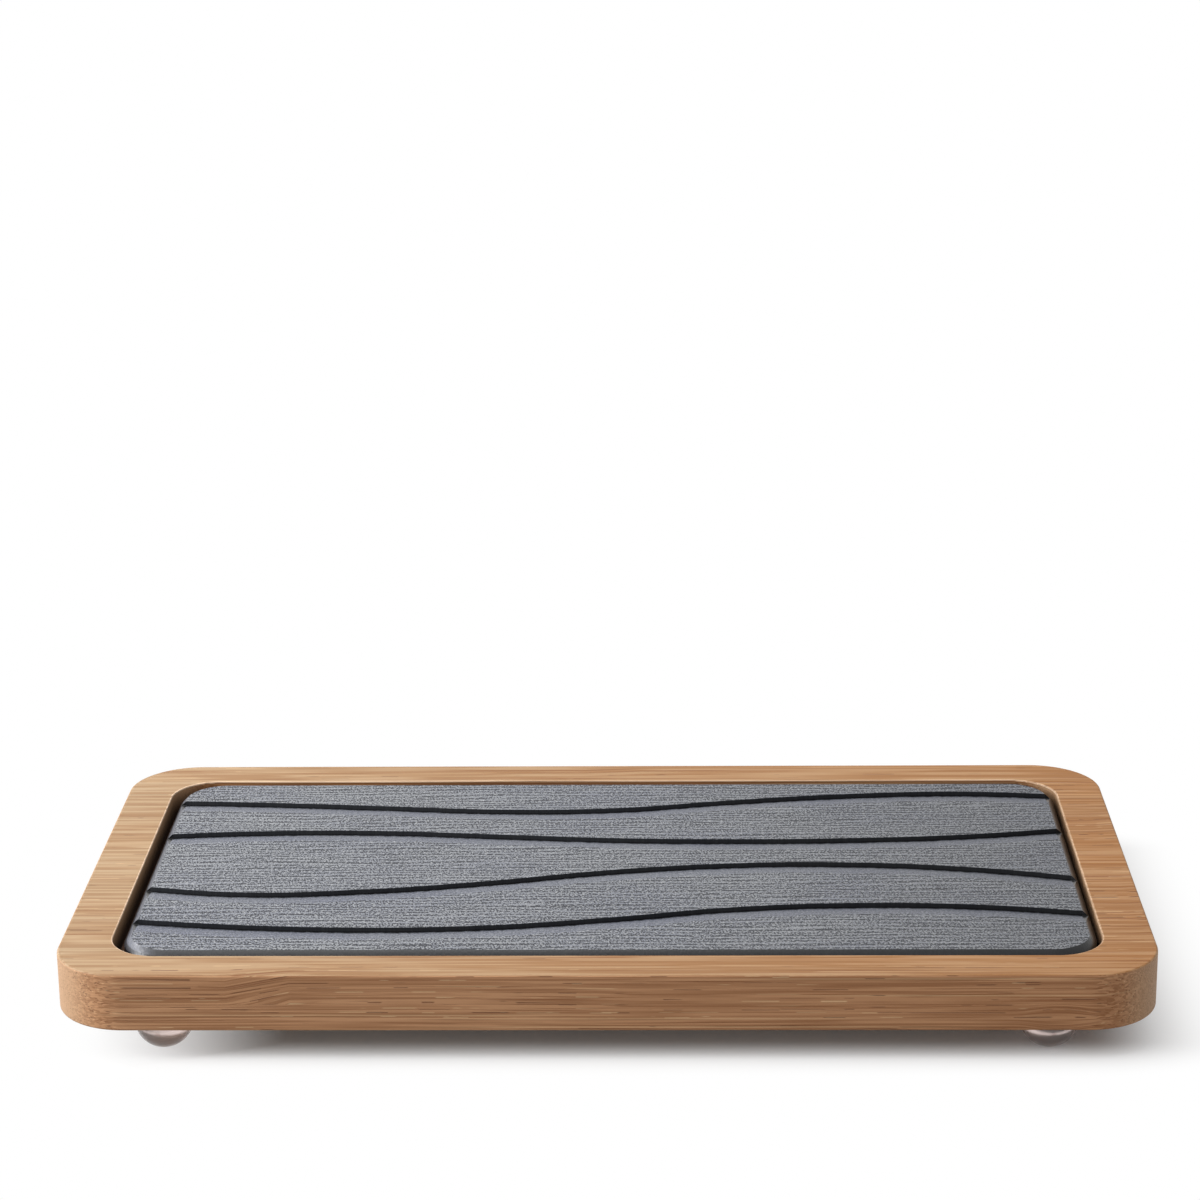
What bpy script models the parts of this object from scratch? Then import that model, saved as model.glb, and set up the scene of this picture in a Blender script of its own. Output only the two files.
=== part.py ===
"""Countertop tray: a bamboo board whose recess holds a loose, wave-grooved stone plate.

Units are metres and +Z is up. The origin is on the surface that the tray stands on, under
the middle of the board. +X runs along the board's long side and -Y is the front.
"""
import math

import bmesh
import bpy

# Bamboo board: two plies glued flat, with a window milled through the upper one
BOARD_LENGTH = 0.260
BOARD_WIDTH = 0.140
BOARD_CORNER_RADIUS = 0.0175
BASE_PLY_THICKNESS = 0.0067
RIM_PLY_THICKNESS = 0.0072
GLUE_LINE = 0.0001
RIM_END_WIDTH = 0.0122
RIM_SIDE_WIDTH = 0.0118
WINDOW_CORNER_RADIUS = 0.0116
WINDOW_EDGE_CHAMFER = 0.0004
BOARD_EDGE_ROUND = 0.0008

# Stone plate: loose in the window, its top level with the rim, resting a little to the right
PLATE_END_GAP = 0.0018
PLATE_SIDE_GAP = 0.0014
PLATE_REST_SHIFT = 0.0007
PLATE_SEAT_GAP = 0.0003
PLATE_CORNER_EXTRA = 0.0013
PLATE_TOP_ROUND = 0.0018
PLATE_BOTTOM_ROUND = 0.0006

# Drain grooves: an upright wall at the back, then a ramp that rises towards the front
GROOVE_DEPTH = 0.0013
GROOVE_WIDTH = 0.0071

# Domed bumper feet, each on a thin adhesive disc
FOOT_RADIUS = 0.0070
FOOT_CONTACT_RADIUS = 0.0012
FOOT_INSET_X = 0.0260
FOOT_INSET_Y = 0.0087
ADHESIVE_THICKNESS = 0.0002
ADHESIVE_EDGE_INSET = 0.0004
ADHESIVE_FILM_GAP = 0.0001

# How far a cutter runs past the faces that it cuts
CUT_OVERRUN = 0.001

# Each groove's back wall, at stations along the plate, as shares of its length and width
STATION_SHARES = (-0.52, -0.39, -0.26, -0.13, 0.0, 0.13, 0.26, 0.39, 0.52)
GROOVE_WALL_SHARES = (
    (0.386, 0.370, 0.347, 0.324, 0.331, 0.380, 0.419, 0.434, 0.413),
    (0.168, 0.190, 0.190, 0.167, 0.143, 0.135, 0.140, 0.161, 0.206),
    (-0.132, -0.173, -0.156, -0.109, -0.047, -0.010, -0.006, -0.036, -0.099),
    (-0.314, -0.351, -0.367, -0.356, -0.314, -0.259, -0.237, -0.248, -0.292),
)

# Facet counts
CORNER_STEPS = 12
BOARD_ROUND_STEPS = 2
PLATE_ROUND_STEPS = 4
GROOVE_STEPS = 6
FOOT_SIDES = 32
DOME_STEPS = 8

# Sizes and heights that follow from the ones above
FOOT_HEIGHT = math.sqrt(FOOT_RADIUS ** 2 - FOOT_CONTACT_RADIUS ** 2)
ADHESIVE_BOTTOM = FOOT_HEIGHT + ADHESIVE_FILM_GAP
BASE_BOTTOM = ADHESIVE_BOTTOM + ADHESIVE_THICKNESS + ADHESIVE_FILM_GAP
BASE_TOP = BASE_BOTTOM + BASE_PLY_THICKNESS
RIM_BOTTOM = BASE_TOP + GLUE_LINE
RIM_TOP = RIM_BOTTOM + RIM_PLY_THICKNESS
WINDOW_LENGTH = BOARD_LENGTH - 2 * RIM_END_WIDTH
WINDOW_WIDTH = BOARD_WIDTH - 2 * RIM_SIDE_WIDTH
PLATE_LENGTH = WINDOW_LENGTH - 2 * PLATE_END_GAP
PLATE_WIDTH = WINDOW_WIDTH - 2 * PLATE_SIDE_GAP
PLATE_CORNER_RADIUS = WINDOW_CORNER_RADIUS - PLATE_SIDE_GAP + PLATE_CORNER_EXTRA
PLATE_BOTTOM = BASE_TOP + PLATE_SEAT_GAP
PLATE_THICKNESS = RIM_TOP - PLATE_BOTTOM
WELD_DISTANCE = GLUE_LINE / 20

BAMBOO_COLOR = (0.56, 0.32, 0.15, 1.0)
STONE_COLOR = (0.10, 0.11, 0.12, 1.0)
FOOT_COLOR = (0.80, 0.80, 0.80, 1.0)
ADHESIVE_COLOR = (0.72, 0.72, 0.70, 1.0)


def clear_scene():
    """Remove every object that the scene starts with."""
    for thing in list(bpy.data.objects):
        bpy.data.objects.remove(thing, do_unlink=True)


def make_collection(name):
    """Return a new collection in the scene."""
    collection = bpy.data.collections.new(name)
    bpy.context.scene.collection.children.link(collection)
    return collection


def make_material(name, color, roughness, transmission=0.0):
    """Return a Principled BSDF material that is not metal."""
    material = bpy.data.materials.new(name)
    material.use_nodes = True
    shader = material.node_tree.nodes["Principled BSDF"]
    shader.inputs["Base Color"].default_value = color
    shader.inputs["Roughness"].default_value = roughness
    shader.inputs["Metallic"].default_value = 0.0
    shader.inputs["Transmission Weight"].default_value = transmission
    return material


def mark_as_cutter(thing):
    """Keep a cutter out of renders and draw it as wire."""
    thing.hide_render = True
    thing.display_type = "WIRE"


def rounded_rectangle(length, width, radius):
    """Return a rounded rectangle's outline points, anticlockwise from its right side."""
    points = []
    corner_sides = ((1, 1), (-1, 1), (-1, -1), (1, -1))
    for quarter, (side_x, side_y) in enumerate(corner_sides):
        centre_x = side_x * (length / 2 - radius)
        centre_y = side_y * (width / 2 - radius)
        for step in range(CORNER_STEPS + 1):
            angle = math.pi / 2 * (quarter + step / CORNER_STEPS)
            x = centre_x + radius * math.cos(angle)
            y = centre_y + radius * math.sin(angle)
            points.append((x, y))
    return points


def polyline_curve(name, points, collection):
    """Return a flat 2D curve object of one closed polyline."""
    curve = bpy.data.curves.new(name, "CURVE")
    curve.dimensions = "2D"
    spline = curve.splines.new("POLY")
    spline.points.add(len(points) - len(spline.points))
    for point, (x, y) in zip(spline.points, points):
        point.co = (x, y, 0.0, 1.0)
    spline.use_cyclic_u = True
    thing = bpy.data.objects.new(name, curve)
    collection.objects.link(thing)
    return thing


def curve_to_mesh(name, guide, collection):
    """Swap a curve object for a welded mesh object of the same shape and place."""
    bpy.context.view_layer.update()
    depsgraph = bpy.context.evaluated_depsgraph_get()
    mesh = bpy.data.meshes.new_from_object(guide.evaluated_get(depsgraph))
    body = bmesh.new()
    body.from_mesh(mesh)
    bmesh.ops.remove_doubles(body, verts=body.verts, dist=WELD_DISTANCE)
    bmesh.ops.recalc_face_normals(body, faces=body.faces)
    body.to_mesh(mesh)
    body.free()
    solid = bpy.data.objects.new(name, mesh)
    solid.matrix_world = guide.matrix_world
    bpy.data.objects.remove(guide, do_unlink=True)
    collection.objects.link(solid)
    return solid


def merge_flat_faces(mesh):
    """Merge the triangles of each flat cap, so that a bevel round it is even."""
    body = bmesh.new()
    body.from_mesh(mesh)
    bmesh.ops.dissolve_limit(body, angle_limit=math.radians(1), verts=body.verts, edges=body.edges)
    body.to_mesh(mesh)
    body.free()


def slab(name, outline, bottom, thickness, collection):
    """Return a flat slab with the given outline, standing between two heights."""
    guide = polyline_curve(name + "_outline", outline, collection)
    guide.data.fill_mode = "BOTH"
    guide.data.extrude = thickness / 2
    guide.location.z = bottom + thickness / 2
    solid = curve_to_mesh(name, guide, collection)
    merge_flat_faces(solid.data)
    return solid


def round_rims(thing, top_round, bottom_round, steps):
    """Round a slab's top and bottom rims with one Bevel modifier, weighted for each rim."""
    largest = max(top_round, bottom_round)
    mesh = thing.data
    weights = mesh.attributes.new("bevel_weight_edge", "FLOAT", "EDGE")
    for edge in mesh.edges:
        heights = [mesh.vertices[index].co.z for index in edge.vertices]
        if min(heights) > 0:
            weights.data[edge.index].value = top_round / largest
        elif max(heights) < 0:
            weights.data[edge.index].value = bottom_round / largest
    bevel = thing.modifiers.new("rim_round", "BEVEL")
    bevel.limit_method = "WEIGHT"
    bevel.width = largest
    bevel.segments = steps


def cut(thing, cutter):
    """Cut a cutter's shape out of an object."""
    boolean = thing.modifiers.new(cutter.name, "BOOLEAN")
    boolean.operation = "DIFFERENCE"
    boolean.solver = "EXACT"
    boolean.object = cutter


def groove_cutter(name, wall_shares, profile, collection):
    """Return a groove's cutter: the profile swept along a smooth wave past both plate ends."""
    curve = bpy.data.curves.new(name, "CURVE")
    curve.dimensions = "2D"
    curve.resolution_u = GROOVE_STEPS
    curve.bevel_mode = "OBJECT"
    curve.bevel_object = profile
    curve.use_fill_caps = True
    spline = curve.splines.new("BEZIER")
    spline.bezier_points.add(len(STATION_SHARES) - len(spline.bezier_points))
    for point, x_share, y_share in zip(spline.bezier_points, STATION_SHARES, wall_shares):
        point.co = (PLATE_LENGTH * x_share, PLATE_WIDTH * y_share, 0.0)
        point.handle_left_type = "AUTO"
        point.handle_right_type = "AUTO"
    guide = bpy.data.objects.new(name + "_path", curve)
    guide.location = (PLATE_REST_SHIFT, 0.0, RIM_TOP)
    collection.objects.link(guide)
    cutter = curve_to_mesh(name, guide, collection)
    mark_as_cutter(cutter)
    return cutter


def build_board(parts, cutters, bamboo):
    """Add the two bamboo plies, with a chamfered window cut through the upper one."""
    outline = rounded_rectangle(BOARD_LENGTH, BOARD_WIDTH, BOARD_CORNER_RADIUS)
    base = slab("base_board", outline, BASE_BOTTOM, BASE_PLY_THICKNESS, parts)
    round_rims(base, 0.0, BOARD_EDGE_ROUND, BOARD_ROUND_STEPS)
    rim = slab("rim_frame", outline, RIM_BOTTOM, RIM_PLY_THICKNESS, parts)
    round_rims(rim, BOARD_EDGE_ROUND, 0.0, BOARD_ROUND_STEPS)
    opening = rounded_rectangle(WINDOW_LENGTH, WINDOW_WIDTH, WINDOW_CORNER_RADIUS)
    cutter_height = RIM_PLY_THICKNESS + 2 * CUT_OVERRUN
    window = slab("window_cutter", opening, RIM_BOTTOM - CUT_OVERRUN, cutter_height, cutters)
    flare = WINDOW_EDGE_CHAMFER + CUT_OVERRUN
    mouth_radius = WINDOW_CORNER_RADIUS + flare
    mouth = rounded_rectangle(WINDOW_LENGTH + 2 * flare, WINDOW_WIDTH + 2 * flare, mouth_radius)
    chamfer = slab("window_chamfer_cutter", mouth, RIM_TOP - WINDOW_EDGE_CHAMFER, 2 * flare, cutters)
    round_rims(chamfer, 0.0, flare, 1)
    for cutter in (window, chamfer):
        mark_as_cutter(cutter)
        cut(rim, cutter)
    for ply in (base, rim):
        ply.data.materials.append(bamboo)


def build_plate(parts, cutters, stone, lift_guide):
    """Add the stone plate and its wavy drain grooves, on the empty that it lifts with."""
    outline = rounded_rectangle(PLATE_LENGTH, PLATE_WIDTH, PLATE_CORNER_RADIUS)
    plate = slab("stone_plate", outline, PLATE_BOTTOM, PLATE_THICKNESS, parts)
    round_rims(plate, PLATE_TOP_ROUND, PLATE_BOTTOM_ROUND, PLATE_ROUND_STEPS)
    ramp_overrun = GROOVE_WIDTH * CUT_OVERRUN / GROOVE_DEPTH
    section = (
        (0.0, -GROOVE_DEPTH),
        (GROOVE_WIDTH + ramp_overrun, CUT_OVERRUN),
        (0.0, CUT_OVERRUN),
    )
    profile = polyline_curve("groove_profile", section, cutters)
    for number, wall_shares in enumerate(GROOVE_WALL_SHARES, start=1):
        cut(plate, groove_cutter("groove_cutter_%d" % number, wall_shares, profile, cutters))
    bpy.data.objects.remove(profile, do_unlink=True)
    plate.data.materials.append(stone)
    plate.parent = lift_guide
    plate.location = (0.0, 0.0, PLATE_THICKNESS / 2)


def foot_mesh(material):
    """Return a domed foot's mesh, turned round its own axis, with its contact disc at zero."""
    contact_angle = math.acos(FOOT_CONTACT_RADIUS / FOOT_RADIUS)
    profile = [(0.0, FOOT_HEIGHT)]
    for step in range(DOME_STEPS + 1):
        angle = contact_angle * step / DOME_STEPS
        x = FOOT_RADIUS * math.cos(angle)
        z = FOOT_HEIGHT - FOOT_RADIUS * math.sin(angle)
        profile.append((x, z))
    profile.append((0.0, 0.0))
    mesh = bpy.data.meshes.new("foot_dome")
    body = bmesh.new()
    previous = None
    for x, z in profile:
        vert = body.verts.new((x, 0.0, z))
        if previous:
            body.edges.new((previous, vert))
        previous = vert
    body.to_mesh(mesh)
    body.free()
    mesh.materials.append(material)
    return mesh


def build_foot(place, x, y, mesh, adhesive, parts):
    """Add one foot and the adhesive disc between it and the board."""
    foot = bpy.data.objects.new("foot_" + place, mesh)
    foot.location = (x, y, 0.0)
    parts.objects.link(foot)
    turn = foot.modifiers.new("turn", "SCREW")
    turn.steps = FOOT_SIDES
    turn.render_steps = FOOT_SIDES
    turn.use_merge_vertices = True
    turn.merge_threshold = WELD_DISTANCE
    turn.use_smooth_shade = True
    bpy.ops.mesh.primitive_cylinder_add(
        vertices=FOOT_SIDES,
        radius=FOOT_RADIUS - ADHESIVE_EDGE_INSET,
        depth=ADHESIVE_THICKNESS,
        location=(x, y, ADHESIVE_BOTTOM + ADHESIVE_THICKNESS / 2),
    )
    disc = bpy.context.object
    disc.name = "adhesive_" + place
    disc.data.materials.append(adhesive)
    bpy.context.collection.objects.unlink(disc)
    parts.objects.link(disc)


def build_feet(parts, clear_rubber, adhesive):
    """Add a foot near each corner of the board."""
    mesh = foot_mesh(clear_rubber)
    reach_x = BOARD_LENGTH / 2 - FOOT_INSET_X
    reach_y = BOARD_WIDTH / 2 - FOOT_INSET_Y
    for row, side_y in (("front", -1), ("back", 1)):
        for column, side_x in (("left", -1), ("right", 1)):
            build_foot(row + "_" + column, side_x * reach_x, side_y * reach_y, mesh, adhesive, parts)


def main():
    """Build the whole tray."""
    clear_scene()
    parts = make_collection("countertop_tray")
    cutters = make_collection("cutters")
    bamboo = make_material("oiled_bamboo", BAMBOO_COLOR, 0.5)
    stone = make_material("sanded_stone", STONE_COLOR, 0.8)
    clear_rubber = make_material("clear_polyurethane", FOOT_COLOR, 0.1, transmission=0.9)
    adhesive = make_material("clear_adhesive", ADHESIVE_COLOR, 0.4)
    lift_guide = bpy.data.objects.new("plate_lift_axis", None)
    lift_guide.location = (PLATE_REST_SHIFT, 0.0, PLATE_BOTTOM)
    parts.objects.link(lift_guide)
    build_board(parts, cutters, bamboo)
    build_plate(parts, cutters, stone, lift_guide)
    build_feet(parts, clear_rubber, adhesive)


main()
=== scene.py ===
import math

import bmesh
import bpy
from mathutils import Matrix, Vector


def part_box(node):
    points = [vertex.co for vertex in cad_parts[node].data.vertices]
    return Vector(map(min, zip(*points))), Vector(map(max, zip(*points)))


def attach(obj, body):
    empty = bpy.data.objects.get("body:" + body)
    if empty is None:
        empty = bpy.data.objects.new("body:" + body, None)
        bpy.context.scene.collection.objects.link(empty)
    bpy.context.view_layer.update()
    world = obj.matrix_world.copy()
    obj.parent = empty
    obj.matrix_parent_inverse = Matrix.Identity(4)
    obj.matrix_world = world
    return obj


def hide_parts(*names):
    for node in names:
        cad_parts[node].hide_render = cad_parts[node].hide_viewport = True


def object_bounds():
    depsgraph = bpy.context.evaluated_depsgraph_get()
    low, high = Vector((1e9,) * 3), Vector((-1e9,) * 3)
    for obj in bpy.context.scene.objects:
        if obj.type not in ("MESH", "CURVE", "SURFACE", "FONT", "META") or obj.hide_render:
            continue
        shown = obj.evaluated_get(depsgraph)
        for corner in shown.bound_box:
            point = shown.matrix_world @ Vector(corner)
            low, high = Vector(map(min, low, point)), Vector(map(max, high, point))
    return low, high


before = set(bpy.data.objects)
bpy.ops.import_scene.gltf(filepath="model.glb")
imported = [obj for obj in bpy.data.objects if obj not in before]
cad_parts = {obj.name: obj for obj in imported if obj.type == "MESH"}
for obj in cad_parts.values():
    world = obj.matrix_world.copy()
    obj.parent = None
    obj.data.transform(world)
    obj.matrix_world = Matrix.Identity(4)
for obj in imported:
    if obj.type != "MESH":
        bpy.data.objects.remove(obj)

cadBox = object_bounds()
mm = 0.001
perMm = 1 / mm

# a MapRange node's four limits: from, to, and what it gives at each; smooth rounds its ends off
ramp = (1, 2, 3, 4)
smooth = {"interpolation_type": "SMOOTHSTEP"}

# the studio: a white floor, a soft lamp overhead, two on the left and a dim tent round the rest
studio = {
    "floorSpan": 16.0,
    "floorDrop": 0.05 * mm,
    "floorWhite": "#ffffff",
    "floorBounce": "#aeacaa",
    "floorGain": 0.98,
    "leastFade": 0.027,
    "fadeInset": (0.018, 0.011),
    "fadeWidth": 0.021,
    "sideFadeRatio": 0.5,
    # painted light on the floor under the tray's left end, along x
    "leftFade": (-0.130, -0.070),
    "tentColour": "#ffffff",
    "tentMean": 0.38,
    "tentSwing": 0.16,
    "tentBrightSide": (-0.40, -0.45, 0.80),
    "sheenMean": 0.62,
    "sheenSwing": 0.5,
    "sheenBrightSide": (-0.35, 0.85, 0.40),
    "backdropColour": "#ffffff",
    "backdropStrength": 1.0,
    "softboxes": (
        ("overheadSoftbox", (-0.22, -0.06, 0.62), 0.50, 1.6),
        ("leftSoftbox", (-0.58, -0.10, 0.28), 0.26, 2.2),
        ("edgeSoftbox", (-0.52, 0.20, 0.34), 0.12, 0.6),
    ),
}

# the photograph's lower view, as fitted to the board's edges
viewpoint = {
    "place": (0.0170364, -0.7414343, 0.3209171),
    "turn": -1.44603,
    "tiltDown": 17.26199,
    "roll": -0.64604,
    "lens": 94.806,
    "sensor": 36.0,
    "clipStart": 10 * mm,
}


def hexColour(code):
    # an sRGB hex code as the linear colour that a shader socket takes
    channels = []
    for start in (1, 3, 5):
        value = int(code[start:start + 2], 16) / 255
        channels.append(value / 12.92 if value <= 0.04045 else ((value + 0.055) / 1.055) ** 2.4)
    return (*channels, 1.0)


def addNode(tree, kind, inputs=None, **settings):
    # one shader node with its settings; inputs maps a socket to a value, a hex colour or another
    # node's output, and several sockets, in a tuple, to several values
    node = tree.nodes.new("ShaderNode" + kind)
    for name, value in settings.items():
        setattr(node, name, value)
    for sockets, values in (inputs or {}).items():
        several = isinstance(sockets, tuple)
        for socket, value in zip(sockets, values) if several else ((sockets, values),):
            if isinstance(value, bpy.types.NodeSocket):
                tree.links.new(value, node.inputs[socket])
            else:
                isColour = isinstance(value, str)
                node.inputs[socket].default_value = hexColour(value) if isColour else value
    return node


def result(tree, kind, inputs=None, **settings):
    # adds one node and gives the first output that its settings leave in use
    outputs = addNode(tree, kind, inputs, **settings).outputs
    return next(socket for socket in outputs if socket.enabled)


def newMaterial(name):
    # an empty material, its tree and the object's own coordinates
    material = bpy.data.materials.new(name)
    material.use_nodes = True
    tree = material.node_tree
    tree.nodes.clear()
    return material, tree, addNode(tree, "TexCoord").outputs["Object"]


def addSurface(tree, inputs):
    # the principled shader that a material ends with
    shader = result(tree, "BsdfPrincipled", inputs)
    addNode(tree, "OutputMaterial", {"Surface": shader})


def setMode(mode):
    bpy.ops.object.mode_set(mode=mode)


def selectAll():
    bpy.ops.mesh.select_all(action="SELECT")


def closeShape():
    # turns every face outwards and ends the edit
    selectAll()
    bpy.ops.mesh.normals_make_consistent(inside=False)
    setMode("OBJECT")


def deselectAll():
    if bpy.context.object and bpy.context.object.mode != "OBJECT":
        setMode("OBJECT")
    bpy.ops.object.select_all(action="DESELECT")


def pick(piece, kind, wanted):
    # selects, in edit mode, only the edges or faces that are wanted
    bpy.ops.mesh.select_mode(type=kind)
    bpy.ops.mesh.select_all(action="DESELECT")
    shape = bmesh.from_edit_mesh(piece.data)
    for item in {"EDGE": shape.edges, "FACE": shape.faces}[kind]:
        if wanted(item):
            item.select_set(True)
    bmesh.update_edit_mesh(piece.data)


def paintFaces(piece, tests):
    # in edit mode, the faces that pass the first test take material slot 1, and so on
    for slot, wanted in enumerate(tests, start=1):
        pick(piece, "FACE", wanted)
        piece.active_material_index = slot
        bpy.ops.object.material_slot_assign()


def edgeAt(height, slack=0.01 * mm):
    # a test for edges that lie flat at one height
    return lambda edge: all(abs(vert.co.z - height) < slack for vert in edge.verts)


def applyModifier(piece, kind, **settings):
    modifier = piece.modifiers.new(kind.lower(), kind)
    for name, value in settings.items():
        setattr(modifier, name, value)
    bpy.context.view_layer.objects.active = piece
    bpy.ops.object.modifier_apply(modifier=modifier.name)


def roundedOutline(name, low, high, height, radius, steps):
    # a flat plane between two corners, with its own corners rounded
    deselectAll()
    centre = (low + high) / 2
    bpy.ops.mesh.primitive_plane_add(size=1, location=(centre.x, centre.y, height))
    outline = bpy.context.object
    outline.name = name
    outline.scale = (high.x - low.x, high.y - low.y, 1)
    bpy.ops.object.transform_apply()
    setMode("EDIT")
    selectAll()
    bpy.ops.mesh.bevel(offset=radius, segments=steps, profile=0.5, affect="VERTICES")
    setMode("OBJECT")
    return outline


def pullDown(depth):
    # gives the active piece, a flat face so far, its thickness
    setMode("EDIT")
    bpy.ops.mesh.select_mode(type="FACE")
    selectAll()
    bpy.ops.mesh.extrude_region_move(TRANSFORM_OT_translate={"value": (0, 0, -depth)})
    closeShape()


def bevelWhere(piece, wanted, width, steps, profile=0.5):
    # rounds the edges that are wanted
    setMode("EDIT")
    pick(piece, "EDGE", wanted)
    bpy.ops.mesh.bevel(offset=width, segments=steps, profile=profile, affect="EDGES", clamp_overlap=False)
    setMode("OBJECT")


def finishShape(piece, sharpAngle):
    # smooth shading that keeps flat faces flat
    deselectAll()
    piece.select_set(True)
    bpy.context.view_layer.objects.active = piece
    bpy.ops.object.shade_smooth_by_angle(angle=math.radians(sharpAngle), keep_sharp_edges=True)
    applyModifier(piece, "WEIGHTED_NORMAL", keep_sharp=True, weight=100)


# Bamboo board
plies = {
    "cornerRadius": 17.5 * mm,
    "cornerSteps": 24,
    "endWidth": 12.2 * mm,
    "sideWidth": 11.8 * mm,
    "windowRadius": 11.6 * mm,
    "windowChamfer": 0.4 * mm,
    "edgeRound": 0.6 * mm,
    "edgeSteps": 5,
    "chamferSteps": 2,
    "seam": 0.01 * mm,
    "sharpAngle": 35,
    "sideNormal": 0.5,
    "wallNormal": 0.1,
    "flatNormal": 0.98,
    "floorNormal": 0.9,
    "wallSlack": 1 * mm,
}


def makeRimFrame():
    low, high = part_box("rim_frame")
    inset = Vector((plies["endWidth"], plies["sideWidth"], 0))
    steps = plies["cornerSteps"]
    window = roundedOutline("window", low + inset, high - inset, high.z, plies["windowRadius"], steps)
    rim = roundedOutline("rimFrame", low, high, high.z, plies["cornerRadius"], steps)
    for outline in (window, rim):
        bpy.context.view_layer.objects.active = outline
        setMode("EDIT")
        selectAll()
        bpy.ops.mesh.delete(type="ONLY_FACE")
        setMode("OBJECT")
    deselectAll()
    window.select_set(True)
    rim.select_set(True)
    bpy.context.view_layer.objects.active = rim
    bpy.ops.object.join()
    setMode("EDIT")
    bpy.ops.mesh.select_mode(type="EDGE")
    selectAll()
    bpy.ops.mesh.bridge_edge_loops()
    setMode("OBJECT")
    pullDown(high.z - low.z)
    reach = Vector((high.x - plies["endWidth"] / 2, high.y - plies["sideWidth"] / 2))

    def atOuterTop(edge):
        middle = (edge.verts[0].co + edge.verts[1].co) / 2
        return edgeAt(high.z)(edge) and isOutside(middle) and len(edge.link_faces) == 2 and isSideEdge(edge)

    def atWindowTop(edge):
        middle = (edge.verts[0].co + edge.verts[1].co) / 2
        return edgeAt(high.z)(edge) and not isOutside(middle) and isSideEdge(edge)

    def isOutside(point):
        # past the middle line of the four rails, whose corners are rounded too
        cornerX = abs(point.x) - (high.x - plies["cornerRadius"])
        cornerY = abs(point.y) - (high.y - plies["cornerRadius"])
        if cornerX > 0 and cornerY > 0:
            return math.hypot(cornerX, cornerY) > plies["cornerRadius"] / 2 + plies["windowRadius"] / 4
        return abs(point.x) > reach.x or abs(point.y) > reach.y

    def isSideEdge(edge):
        return any(abs(face.normal.z) < plies["sideNormal"] for face in edge.link_faces)

    bevelWhere(rim, atOuterTop, plies["edgeRound"], plies["edgeSteps"])
    bevelWhere(rim, atWindowTop, plies["windowChamfer"], plies["chamferSteps"])
    finishShape(rim, plies["sharpAngle"])
    return rim


def paintWindow(rim):
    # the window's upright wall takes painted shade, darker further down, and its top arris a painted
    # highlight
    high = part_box("rim_frame")[1]
    wallX = high.x - plies["endWidth"] + plies["wallSlack"]
    wallY = high.y - plies["sideWidth"] + plies["wallSlack"]

    def isInside(face):
        middle = face.calc_center_median()
        return abs(middle.x) < wallX and abs(middle.y) < wallY

    def isWall(face):
        return isInside(face) and abs(face.normal.z) < plies["wallNormal"]

    def isArris(face):
        return isInside(face) and plies["wallNormal"] < face.normal.z < plies["flatNormal"]

    bpy.context.view_layer.objects.active = rim
    setMode("EDIT")
    paintFaces(rim, (isWall, isArris))
    setMode("OBJECT")


def makeBaseBoard():
    low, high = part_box("base_board")
    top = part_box("rim_frame")[0].z - plies["seam"]
    base = roundedOutline("baseBoard", low, high, top, plies["cornerRadius"], plies["cornerSteps"])
    pullDown(top - low.z)
    bevelWhere(base, edgeAt(low.z), plies["edgeRound"], plies["edgeSteps"])
    finishShape(base, plies["sharpAngle"])
    return base


def paintRecess(base):
    # the milled floor of the recess, painted darker than the oiled outside as painted shade down in the
    # gaps
    bpy.context.view_layer.objects.active = base
    setMode("EDIT")
    paintFaces(base, (lambda face: face.normal.z > plies["floorNormal"],))
    setMode("OBJECT")


# Stone plate and its four drain grooves
plateLook = {
    "cornerRadius": 11.5 * mm,
    "cornerSteps": 24,
    "topRound": 1.8 * mm,
    "topSteps": 8,
    "topProfile": 0.28,
    "bottomRound": 0.6 * mm,
    "bottomSteps": 3,
    "grooveDepth": 1.3 * mm,
    "grooveWidth": 7.1 * mm,
    "grooveFillet": 0.15 * mm,
    "filletSteps": 4,
    "rampSteps": 6,
    "rampStraightShare": 0.6,
    "overrun": 0.2 * mm,
    "waveSteps": 30,
    "wander": 0.05 * mm,
    "lipRound": 0.05 * mm,
    "lipSteps": 2,
    "sharpAngle": 35,
    "landNormal": 0.9995,
    "landSlack": 0.01 * mm,
    "lipWallNormal": 0.3,
    "wallNormal": 0.88,
    "edgeSlack": 0.02 * mm,
    "stationShares": (-0.52, -0.39, -0.26, -0.13, 0.0, 0.13, 0.26, 0.39, 0.52),
    "wallShares": (
        (0.386, 0.370, 0.347, 0.324, 0.331, 0.380, 0.419, 0.434, 0.413),
        (0.168, 0.190, 0.190, 0.167, 0.143, 0.135, 0.140, 0.161, 0.206),
        (-0.132, -0.173, -0.156, -0.109, -0.047, -0.010, -0.006, -0.036, -0.099),
        (-0.314, -0.351, -0.367, -0.356, -0.314, -0.259, -0.237, -0.248, -0.292),
    ),
}


def grooveSection():
    # the groove's section from the wall's top round to the ramp's top, as (y, z) points
    depth, width = plateLook["grooveDepth"], plateLook["grooveWidth"]
    fillet, straight = plateLook["grooveFillet"], plateLook["rampStraightShare"]
    points = [(0, plateLook["overrun"])]
    for step in range(plateLook["filletSteps"] + 1):
        angle = math.pi / 2 * step / plateLook["filletSteps"]
        points.append((-fillet + fillet * math.cos(angle), -depth + fillet - fillet * math.sin(angle)))
    for step in range(1, plateLook["rampSteps"] + 1):
        left = 1 - step / plateLook["rampSteps"]
        height = -depth * (straight * left + (1 - straight) * left ** 2)
        points.append((-width + (width - fillet) * left, height))
    slope = depth * straight / (width - fillet)
    points.append((-width - plateLook["overrun"] / slope, plateLook["overrun"]))
    return points


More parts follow.
